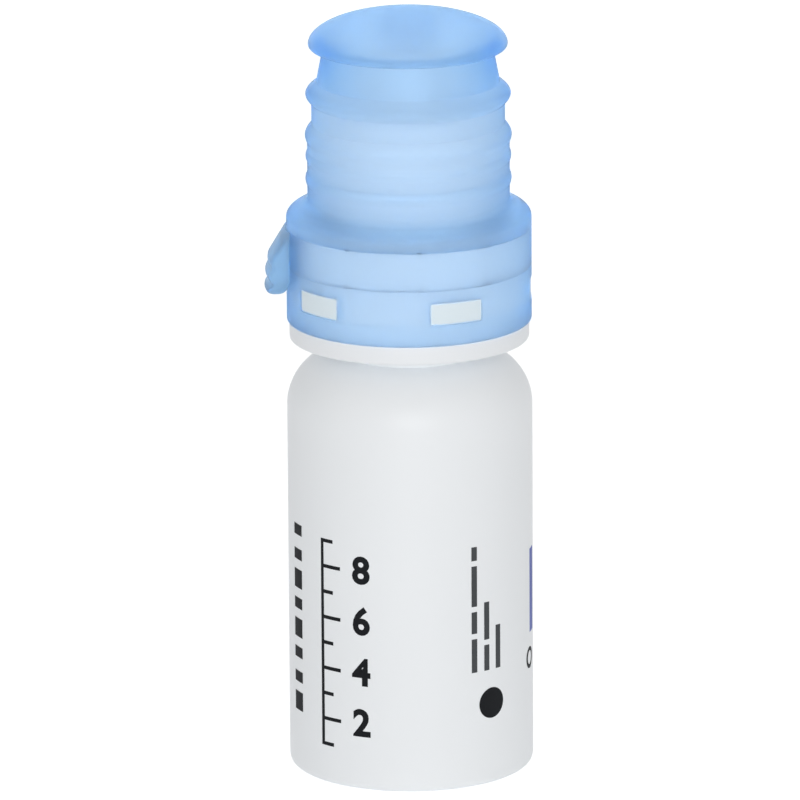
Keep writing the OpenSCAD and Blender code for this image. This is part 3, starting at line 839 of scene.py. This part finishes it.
def window_cutters():
    """Bent blocks with rounded corners, one for each window."""
    rim = window_rim()
    bm = bmesh.new()
    for middle in window_middles:
        inner = [bm.verts.new(around(RING_IN_R - CUT_PAST, middle + u / RING_R, z)) for u, z in rim]
        outer = [bm.verts.new(around(RING_R + CUT_PAST, middle + u / RING_R, z)) for u, z in rim]
        for k in range(len(rim)):
            j = (k + 1) % len(rim)
            bm.faces.new([inner[k], inner[j], outer[j], outer[k]])
        bm.faces.new(inner)
        bm.faces.new(outer)
    bmesh.ops.recalc_face_normals(bm, faces=bm.faces)
    bmesh.ops.scale(bm, vec=(MM, MM, MM), verts=bm.verts)
    mesh = bpy.data.meshes.new("window_cutters")
    bm.to_mesh(mesh)
    bm.free()
    cutters = bpy.data.objects.new("window_cutters", mesh)
    bpy.context.scene.collection.objects.link(cutters)
    return cutters


print("each window is cut along", len(window_rim()), "points")

# %% Retaining ring
HAIR = 0.03
EDGE = 0.012
CUT_BEVEL = 0.05


def cut(piece, cutters):
    """Cuts one mesh out of another, and removes the cutter."""
    modifier = piece.modifiers.new("windows", "BOOLEAN")
    modifier.object = cutters
    modifier.operation = "DIFFERENCE"
    modifier.solver = "EXACT"
    bpy.context.view_layer.update()
    shaped = bpy.data.meshes.new_from_object(piece.evaluated_get(bpy.context.evaluated_depsgraph_get()))
    piece.modifiers.clear()
    piece.data = shaped
    bpy.data.objects.remove(cutters)
    shaped.set_sharp_from_angle(angle=SHARP)


def make_ring():
    """Blue ring with its snap bead and its windows."""
    bead_r = SKIRT_R - GROOVE + 0.1
    low = RING_LOW + HAIR
    outline = rounded([
        (bead_r, low), (RING_R, low, 0.2), (RING_R, RING_TOP, EDGE),
        (RING_IN_R, RING_TOP, 0.05), (RING_IN_R, low + GROOVE_H),
        (bead_r, low + GROOVE_H - 0.1)])
    ring = turned("retaining_ring_blue", outline, BLUE_RING, "dispenser", steps=240,
                  node="retaining_ring", slot="blue_ring")
    cut(ring, window_cutters())
    edges = ring.modifiers.new("soft_edges", "BEVEL")
    edges.width = CUT_BEVEL * MM
    edges.segments = 2
    edges.limit_method = "ANGLE"
    edges.angle_limit = math.radians(50)
    print("ring after the windows:", len(ring.data.vertices), "points")


make_ring()

# %% [markdown]
# ## The tear strip
# The strip is a plain band that hangs between the ring and the cap by thin bridges, which break when
# the tab is pulled. The ring, strip and cap could be one mesh with lines drawn on it, but the strip has
# to leave with its tab, so it is a closed band of its own. Its slits are as fine as they look in the
# photograph, and the bridges are small blocks set back in them.

# %% Tear strip
SLIT = 0.01
STRIP_TOP = CAP_LOW - SLIT
STRIP_LOW = RING_TOP + SLIT
BRIDGES = 10
BRIDGE_W = 0.4
BRIDGE_R = RING_R - 0.2
BRIDGE_IN_R = RING_R - 0.7
BRIDGE_HOLD = 0.2


def make_strip():
    """Band with ten bridges in each slit."""
    bm = bmesh.new()
    band = rounded([(RING_IN_R, STRIP_LOW, EDGE), (RING_R, STRIP_LOW, EDGE),
                    (RING_R, STRIP_TOP, EDGE), (RING_IN_R, STRIP_TOP, EDGE)], n=3)
    sweep(bm, band, even_turn(192), closed=True)
    half = BRIDGE_W / 2 / RING_R
    for i in range(BRIDGES):
        middle = TAB_ANGLE + (i + 0.5) * 2 * math.pi / BRIDGES
        for low, high in ((RING_TOP, STRIP_LOW + BRIDGE_HOLD), (STRIP_TOP - BRIDGE_HOLD, CAP_LOW)):
            block = [(BRIDGE_IN_R, low), (BRIDGE_R, low), (BRIDGE_R, high), (BRIDGE_IN_R, high)]
            sweep(bm, block, [middle - half, middle, middle + half], closed=False)
    finish_mesh("tear_strip_band", bm, BLUE_STRIP, "strip", "tear_strip", "blue_strip")


make_strip()

# %% [markdown]
# ## The pull tab
# The tab hangs from a thin flexing root at the top of the strip, grows thicker down a slope and ends
# in rounded corners, with swells for the finger. It could be sculpted, but its side view is what the
# photograph shows best, so that view is written down: at each depth below the root, an inner and an
# outer radius. The view is repeated across the width, and pulled in towards the sides so that the
# edges are round.

# %% Side view of the tab
TAB_L = 6.4
TAB_ROOT_R = RING_R + 0.03
TAB_ROOT_H = 1.4
TAB_ROOT_T = 0.05
TAB_IN_R = RING_R + 0.12
TAB_R = RING_R + 1.74
TAB_SLOPE_H = 2.6
TAB_SWELLS = ((2.6, 3.5, 0.1), (3.6, 5.0, 0.34), (5.2, 6.4, 0.42))  # top, bottom and height of each
SWELL_POWER = 0.8  # below 1 makes a swell blunter than a sine


def tab_outer(depth):
    """Outer radius of the tab at a depth below its root."""
    root_r = TAB_IN_R + TAB_ROOT_T
    if depth < TAB_SLOPE_H:
        return root_r + (TAB_R - root_r) * depth / TAB_SLOPE_H
    for top, low, height in TAB_SWELLS:
        if top < depth < low:
            return TAB_R + height * math.sin(math.pi * (depth - top) / (low - top)) ** SWELL_POWER
    return TAB_R


def tab_inner(depth):
    """Inner radius of the tab, which comes close to the strip at the root."""
    return TAB_ROOT_R + (TAB_IN_R - TAB_ROOT_R) * min(1, depth / TAB_ROOT_H)


def round_in(distance, radius):
    """How far a rounded edge pulls in at a distance from the end."""
    if distance >= radius:
        return 0
    return radius - math.sqrt(max(0, radius ** 2 - (radius - distance) ** 2))


print("tab thickness at its foot:", round(tab_outer(TAB_L) - tab_inner(TAB_L), 2), "mm")

# %% Pull tab
TAB_W = 5.2
TAB_CORNER = 1.8
TAB_EDGE = 0.35
TAB_INNER_ROUND = 0.8
TAB_LEVELS = 64
TAB_STATIONS = 32


def tab_section(y):
    """Closed outline of the tab at y across its width."""
    side = TAB_W / 2 - abs(y)
    length = TAB_L - round_in(side, TAB_CORNER)
    outer, inner = [], []
    for k in range(TAB_LEVELS + 1):
        depth = length * k / TAB_LEVELS
        r_out = tab_outer(depth)
        r_in = tab_inner(depth)
        thick = r_out - r_in
        end_pull = round_in(length - depth, TAB_EDGE)
        pull = min(round_in(side, TAB_EDGE) + end_pull, thick * 0.46)
        outer.append((r_out - pull, STRIP_TOP - depth))
        lifted = round_in(length - depth, TAB_INNER_ROUND) - end_pull
        inner.append((r_in + min(pull + lifted, thick * 0.5), STRIP_TOP - depth))
    return outer + inner[::-1]


def make_tab():
    """Tab built from sections across its width."""
    bm = bmesh.new()
    turn = Matrix.Rotation(TAB_ANGLE, 3, "Z")
    rows = []
    for k in range(TAB_STATIONS + 1):
        y = TAB_W / 2 * math.sin(math.pi / 2 * (2 * k / TAB_STATIONS - 1))
        points = [turn @ Vector((math.sqrt(r * r - y * y), y, z)) for r, z in tab_section(y)]
        rows.append([bm.verts.new(p) for p in points])
    lay_faces(bm, rows)
    # The tab takes the deeper, greyer blue of the painted shade.
    finish_mesh("pull_tab_grip", bm, BLUE_TAB_SHADED, "tab", "pull_tab", "blue_strip")


make_tab()

# %% [markdown]
# ## The cap
# The cap is pulled off, so its tube carries ribs for the fingers, and a waist under a mushroom head. It
# is hollow all the way up, closes the nozzle with a pad under the dome, and grips the tower with a
# bead. A single skin would do for a cap that can't be seen through, but milky plastic needs a closed
# mesh with an outside and an inside, because its colour follows its thickness. The wall is thicker in
# the waist and the foot, where the photograph is a deeper blue. The pad is only a thin rim here, and
# the bead lower than in the construction, because thick plastic would show as dark patches.

# %% Levels and radii of the cap
CAP_WALL = 0.95
CAP_IN_R = TOWER_R + 0.93
CAP_R = CAP_IN_R + CAP_WALL
UPPER_R = CAP_R - 0.44
WAIST_FOOT_R = 8.95
WAIST_R = 8.35
HEAD_R = 9.72
FOOT_Z = CAP_LOW + 0.9
FOOT_SHOULDER_H = 1.3
TUBE_Z = FOOT_Z + 1.42
STEP_Z = TOWER_TOP - 1.4
DOME_Z = TIP_Z + 0.8
WAIST_Z = DOME_Z - 0.65
DOME_FLATTER = 0.25  # the real dome is a little flatter than the frame's
DOME_H = CAP_TOP - DOME_Z - DOME_FLATTER
print("cap: wall", CAP_WALL, "mm, dome", round(DOME_H, 2), "mm high")

# %% Outside of the cap
LOW_RIB_Z = TUBE_Z + 2.46
STEP_RIB_Z = STEP_Z - 1.25
MID_RIB_Z = (LOW_RIB_Z + STEP_RIB_Z) / 2
TOP_RIB_Z = STEP_Z + 2.78
STEP_RIB_W = 1.9
TOP_RIB_W = 2.1
HEAD_EDGE_R = 0.75
HEAD_UNDER_H = 0.5


def cap_foot():
    """Foot of the cap: a rounded shoulder that runs up into the tube in a hollow curve."""
    shoulder = arc(CAP_R, FOOT_Z, RING_R - CAP_R, FOOT_SHOULDER_H, 0, 62, 16)
    start = Vector(shoulder[-1])
    corner = Vector((CAP_R, FOOT_Z + FOOT_SHOULDER_H))
    end = Vector((CAP_R, TUBE_Z + 0.55))
    fillet = [tuple(start * (1 - t) ** 2 + corner * 2 * t * (1 - t) + end * t ** 2)
              for t in (0.15, 0.3, 0.45, 0.6, 0.75, 0.9)]
    return [(RING_R - EDGE, CAP_LOW), (RING_R, CAP_LOW + EDGE)] + shoulder + fillet + [tuple(end)]


def cap_outside():
    """Outer side of the cap, from the foot to the top of the dome."""
    ribs = (rib(CAP_R, CAP_R, LOW_RIB_Z, 0.18, 1.3) + rib(CAP_R, CAP_R, MID_RIB_Z, 0.15, 1.1)
            + rib(CAP_R, UPPER_R, STEP_RIB_Z, 0.4, STEP_RIB_W)
            + rib(UPPER_R, WAIST_FOOT_R, TOP_RIB_Z, 0.8, TOP_RIB_W, 24))
    under = arc(HEAD_R - HEAD_EDGE_R, DOME_Z, HEAD_EDGE_R, HEAD_UNDER_H, -70, 0, 10)
    dome = arc(0, DOME_Z, HEAD_R, DOME_H, 2, 90, 48)
    dome[-1] = (0, DOME_Z + DOME_H)
    return cap_foot() + ribs + [(WAIST_R, WAIST_Z)] + under + dome


print("outside of the cap:", len(cap_outside()), "points")

# %% Inside of the cap
WAIST_WALL = 1.9
HEAD_WALL = 1.8
DOME_WALL = 1.25
FOOT_WALL = 1.45
FOOT_IN_H = 0.8
PAD_R = 2.6
PAD_IN_R = 2.35


def cap_inside():
    """Inner side of the cap, from the pad down to the foot."""
    waist_in = WAIST_R - WAIST_WALL
    waist_foot_in = WAIST_FOOT_R - WAIST_WALL
    upper_in = UPPER_R - CAP_WALL
    foot_in = RING_R - FOOT_WALL
    inner_top = DOME_Z + DOME_H - DOME_WALL
    pad = [(0, inner_top), (PAD_IN_R, inner_top - 0.1), (PAD_IN_R, TIP_Z), (PAD_R, TIP_Z)]
    dome = arc(0, DOME_Z, HEAD_R - HEAD_WALL, DOME_H - DOME_WALL, 72, 0, 20)
    waist = [(waist_in + 0.2, DOME_Z - 0.7), (waist_in, WAIST_Z)]
    top_rib = rib(upper_in, waist_foot_in, TOP_RIB_Z, 0.5, TOP_RIB_W, 16)[::-1]
    step_rib = rib(CAP_IN_R, upper_in, STEP_RIB_Z, 0.25, STEP_RIB_W, 16)[::-1]
    grip = rib(CAP_IN_R, CAP_IN_R, LOW_RIB_Z, -0.3, 0.9, 8)[::-1]
    foot = arc(CAP_IN_R, CAP_LOW + 0.15, foot_in - CAP_IN_R, FOOT_IN_H, 90, 0, 12)
    return pad + dome + waist + top_rib + step_rib + grip + foot + [(foot_in, CAP_LOW)]


turned("pull_off_cap", cap_outside() + cap_inside(), BLUE_CAP, "cap", node="cap", slot="blue_cap")

# %% [markdown]
# ## The print
# The bottle is printed in three inks, straight on its side. The print here is plain: a fill scale with
# numbers, rows of bars where small print would be, and a few stripes. An image on the bottle would be
# the usual way, but it blurs from near and is a file of its own. So the print is a mesh. It is drawn
# flat first, as on an unrolled label, with places given in degrees from the front and millimetres up.

# %% Flat shapes
MM_PER_DEGREE = math.pi * BODY_R / 180
DISC_POINTS = 40
DIGIT_HEIGHT = 0.72  # of the font's size


def disc_rim(bm, u, z, radius):
    """Corners of a disc, flat on the unrolled bottle."""
    turns = [2 * math.pi * k / DISC_POINTS for k in range(DISC_POINTS)]
    return [bm.verts.new((u + radius * math.cos(t), 0, z + radius * math.sin(t))) for t in turns]


def flat_bar(bm, degrees, z, width, height):
    """Rectangle whose middle is at an angle from the front, in degrees, and at a height in millimetres."""
    u = degrees * MM_PER_DEGREE
    corners = ((-1, -1), (1, -1), (1, 1), (-1, 1))
    bm.faces.new([bm.verts.new((u + a * width / 2, 0, z + b * height / 2)) for a, b in corners])


def flat_disc(bm, degrees, z, radius, hole=0.0):
    """Disc, or a ring if it has a hole."""
    rim = disc_rim(bm, degrees * MM_PER_DEGREE, z, radius)
    if not hole:
        bm.faces.new(rim)
        return
    eye = disc_rim(bm, degrees * MM_PER_DEGREE, z, hole)
    for k in range(DISC_POINTS):
        j = (k + 1) % DISC_POINTS
        bm.faces.new([rim[k], rim[j], eye[j], eye[k]])


def flat_number(bm, number, degrees, z, height, weight):
    """Plain digits; weight thickens the strokes by a share of the height."""
    curve = bpy.data.curves.new("digits", "FONT")
    curve.body = str(number)
    curve.size = height / DIGIT_HEIGHT
    curve.offset = weight * height
    curve.align_x = "CENTER"
    curve.align_y = "CENTER"
    curve.resolution_u = 4
    digits = bpy.data.objects.new("digits", curve)
    bpy.context.scene.collection.objects.link(digits)
    bpy.context.view_layer.update()
    mesh = bpy.data.meshes.new_from_object(digits.evaluated_get(bpy.context.evaluated_depsgraph_get()))
    upright = Matrix.Rotation(math.radians(90), 4, "X")
    mesh.transform(Matrix.Translation((degrees * MM_PER_DEGREE, 0, z)) @ upright)
    bm.from_mesh(mesh)
    bpy.data.objects.remove(digits)
    bpy.data.curves.remove(curve)
    bpy.data.meshes.remove(mesh)


print("one degree is", round(MM_PER_DEGREE, 3), "mm of the bottle's side")

# %% [markdown]
# ## Wrapping the print
# A flat letter that is bent round the bottle would sink into it between its corners. So the flat
# shapes are first cut into narrow columns, then bent to the bottle's radius. A shrinkwrap modifier
# could press them on as well, but the bottle is round, so a sine and a cosine do it exactly. Last, the
# shapes get the thickness of a film of ink, half of it above the plastic.

# %% Wrapping
INK_FILM = 0.02
COLUMN = 0.5
INK_SHARP = math.radians(60)


def wrap_print(name, bm, material):
    """Cuts flat shapes into columns, wraps them round the bottle and gives them a thickness."""
    widest = max(abs(v.co.x) for v in bm.verts)
    steps = int(widest / COLUMN) + 1
    for k in range(-steps, steps + 1):
        geometry = bm.verts[:] + bm.edges[:] + bm.faces[:]
        bmesh.ops.bisect_plane(bm, geom=geometry, dist=TOO_CLOSE,
                               plane_co=(k * COLUMN, 0, 0), plane_no=(1, 0, 0))
    bmesh.ops.remove_doubles(bm, verts=bm.verts, dist=10 * TOO_CLOSE)
    under = bm.verts[:]
    lifted = bmesh.ops.extrude_face_region(bm, geom=bm.faces[:])
    upper = [v for v in lifted["geom"] if isinstance(v, bmesh.types.BMVert)]
    for verts, radius in ((under, BODY_R - INK_FILM), (upper, BODY_R + INK_FILM)):
        for vert in verts:
            angle = vert.co.x / BODY_R
            vert.co = Vector((radius * math.sin(angle), -radius * math.cos(angle), vert.co.z))
    finish_mesh(name, bm, material, "dispenser", slot="white_bottle", sharp=INK_SHARP)


print("columns of", COLUMN, "mm")

# %% [markdown]
# ## The fill scale
# A dropper bottle may carry a scale of what is left in it. The lines could simply be spaced by eye, but
# here they follow the volume: a millilitre fills a certain height inside the round wall. Beside the
# scale stand a row of plain marks, a dot and a small ring, about as dark and as large as the print
# on such a bottle.

# %% Black print
MM_PER_ML = 1000 / (math.pi * (BODY_R - BOTTLE_WALL) ** 2)
LIQUID_LOW = DISH_RISE + BOTTLE_WALL
SCALE_AT = -46
SCALE_ML = range(1, 10)
SCALE_LINE = 0.36
LONG_LINE = 2.1
SHORT_LINE = 1.2
NUMBER_AT = SCALE_AT + 22
NUMBER_H = 2.7
NUMBER_WEIGHT = 0.045
MARKS_AT = -67
MARKS_LOW = 7.4
MARK_STEP = 2.5
MARK_W = 1.8
MARKS = (1.9, 1.1, 1.1, 1.9, 1.1, 1.9, 1.1, 1.1)


def make_black_print():
    """Fill scale that follows the bottle's real volume, with a row of plain marks beside it."""
    bm = bmesh.new()
    low = LIQUID_LOW + SCALE_ML[0] * MM_PER_ML
    top = LIQUID_LOW + SCALE_ML[-1] * MM_PER_ML
    flat_bar(bm, SCALE_AT, (low + top) / 2, SCALE_LINE, top - low + SCALE_LINE)
    for ml in SCALE_ML:
        length = SHORT_LINE if ml % 2 else LONG_LINE
        middle = SCALE_AT + (length + SCALE_LINE) / 2 / MM_PER_DEGREE
        flat_bar(bm, middle, LIQUID_LOW + ml * MM_PER_ML, length, SCALE_LINE)
    for ml in SCALE_ML[1::2]:
        flat_number(bm, ml, NUMBER_AT, LIQUID_LOW + ml * MM_PER_ML, NUMBER_H, NUMBER_WEIGHT)
    for k, height in enumerate(MARKS):
        flat_bar(bm, MARKS_AT, MARKS_LOW + MARK_STEP * k, MARK_W, height)
    flat_disc(bm, 41, 8.4, 1.55)
    flat_disc(bm, 76, 11.2, 1.1, hole=0.7)
    wrap_print("print_black", bm, BLACK_INK)


make_black_print()
print("a millilitre is", round(MM_PER_ML, 2), "mm high")

# %% [markdown]
# ## The small print
# Small print can't be read from a step away, and looks like rows of short grey bars. Letters could be
# set in it, but they would have to say something, and would need thousands of points. So it is bars
# here: columns of upright ones at the front, and lines of words at the back. Its grey ink is paler than
# the black, because thin strokes seen from afar mix with the white round them.

# %% Grey print
COLUMNS_LOW = 11.8
COLUMN_BARS = {31: (3.4, 2.2, 4.1, 1.4), 38: (2.6, 3.8), 45: (4.4,)}  # degrees: lengths from below
COLUMN_W = 0.62
COLUMN_GAP = 0.55
LINES = 9
LINES_AT = 143
LINES_TOP = 26
LINE_STEP = 2.1
LINE_H = 0.55
WORD_GAP = 0.7


def make_grey_print():
    """Bars in rows, like lines of small print seen from afar."""
    bm = bmesh.new()
    for degrees, lengths in COLUMN_BARS.items():
        z = COLUMNS_LOW
        for length in lengths:
            flat_bar(bm, degrees, z + length / 2, COLUMN_W, length)
            z += length + COLUMN_GAP
    for line in range(LINES):
        u = LINES_AT * MM_PER_DEGREE
        for length in (7.5, 5.5 - (line % 3) * 1.3, 3.1 + (line % 2) * 1.6):
            flat_bar(bm, (u + length / 2) / MM_PER_DEGREE, LINES_TOP - line * LINE_STEP, length, LINE_H)
            u += length + WORD_GAP
    wrap_print("print_grey", bm, GREY_INK)


make_grey_print()

# %% [markdown]
# ## The violet stripes
# The stripes at the side are the one spot of colour on the bottle. They could be a picture or a sign,
# but plain stripes suit any bottle, and five upright ones whose heights rise and fall are enough to
# give the label a middle. Four steps in the same ink balance them at the back.

# %% Violet print
STRIPES = {80: 8.5, 99: 12.5, 109: 16.5, 119: 12.5, 129: 8.5}  # degrees: height
STRIPE_Z = 18
STRIPE_W = 1.5
STEPS_AT = -108


def make_violet_print():
    """Plain stripes up the right side, and four steps at the left of the back."""
    bm = bmesh.new()
    for degrees, height in STRIPES.items():
        flat_bar(bm, degrees, STRIPE_Z, STRIPE_W, height)
    for step in range(4):
        flat_bar(bm, STEPS_AT, 16 + 2.4 * step, 5.6 - 1.3 * step, 1.2)
    wrap_print("print_violet", bm, VIOLET_INK)


make_violet_print()

# %% [markdown]
# ## Pieces inside the dispenser
# The stem, its core, the filter with its snap ring and the neck seal keep their solids from the frame.
# They could be built again, but their shapes are right already, and the housing hides them until it
# is taken apart. Only their placeholder materials are exchanged for the finishes made above.

# %% Pieces inside the dispenser
for node, material in (("valve_core", WHITE_PART), ("outlet_valve", WHITE_STEM),
                       ("air_filter", FILTER_FELT), ("filter_retainer", WHITE_PART),
                       ("neck_seal", SOFT_SEAL)):
    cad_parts[node].data.materials.clear()
    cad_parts[node].data.materials.append(material)
    print(node, "in", material.name)

# %% [markdown]
# ## The valve spring
# A steel coil pushes the stem shut. A curve with a round bevel would draw it too, but here it is a
# mesh. When the stem backs off by half a millimetre, the real coil gets shorter by as much. The wire
# is a ring of points that is carried along a helix and always stands square to it.

# %% Valve spring
SPRING_TURNS = 4
STEPS_A_TURN = 36
WIRE_R = 0.2
WIRE_SIDES = 12
SPRING_R = 1.85


def wire_ring(bm, turned_by, rise_a_radian, z):
    """Corners of the wire, square to the helix, at an angle along it."""
    out = Vector(around(1, turned_by, 0))
    along = Vector((-math.sin(turned_by), math.cos(turned_by), rise_a_radian / SPRING_R))
    across = along.normalized().cross(out)
    middle = out * SPRING_R + Vector((0, 0, z))
    sides = [2 * math.pi * i / WIRE_SIDES for i in range(WIRE_SIDES)]
    return [bm.verts.new(middle + (out * math.cos(u) + across * math.sin(u)) * WIRE_R) for u in sides]


def make_spring():
    """Round wire wound between the core and the stem's collar."""
    _, low, high = reach("valve_spring")
    wire_low, wire_high = low + WIRE_R, high - WIRE_R
    rise = (wire_high - wire_low) / (2 * math.pi * SPRING_TURNS)
    steps = SPRING_TURNS * STEPS_A_TURN
    bm = bmesh.new()
    rows = []
    for k in range(steps + 1):
        turned_by = 2 * math.pi * SPRING_TURNS * k / steps
        rows.append(wire_ring(bm, turned_by, rise, wire_low + (wire_high - wire_low) * k / steps))
    lay_faces(bm, rows)
    wire = finish_mesh("valve_spring_wire", bm, SPRING_STEEL, "dispenser", "valve_spring", "spring_steel")
    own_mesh(wire)


make_spring()
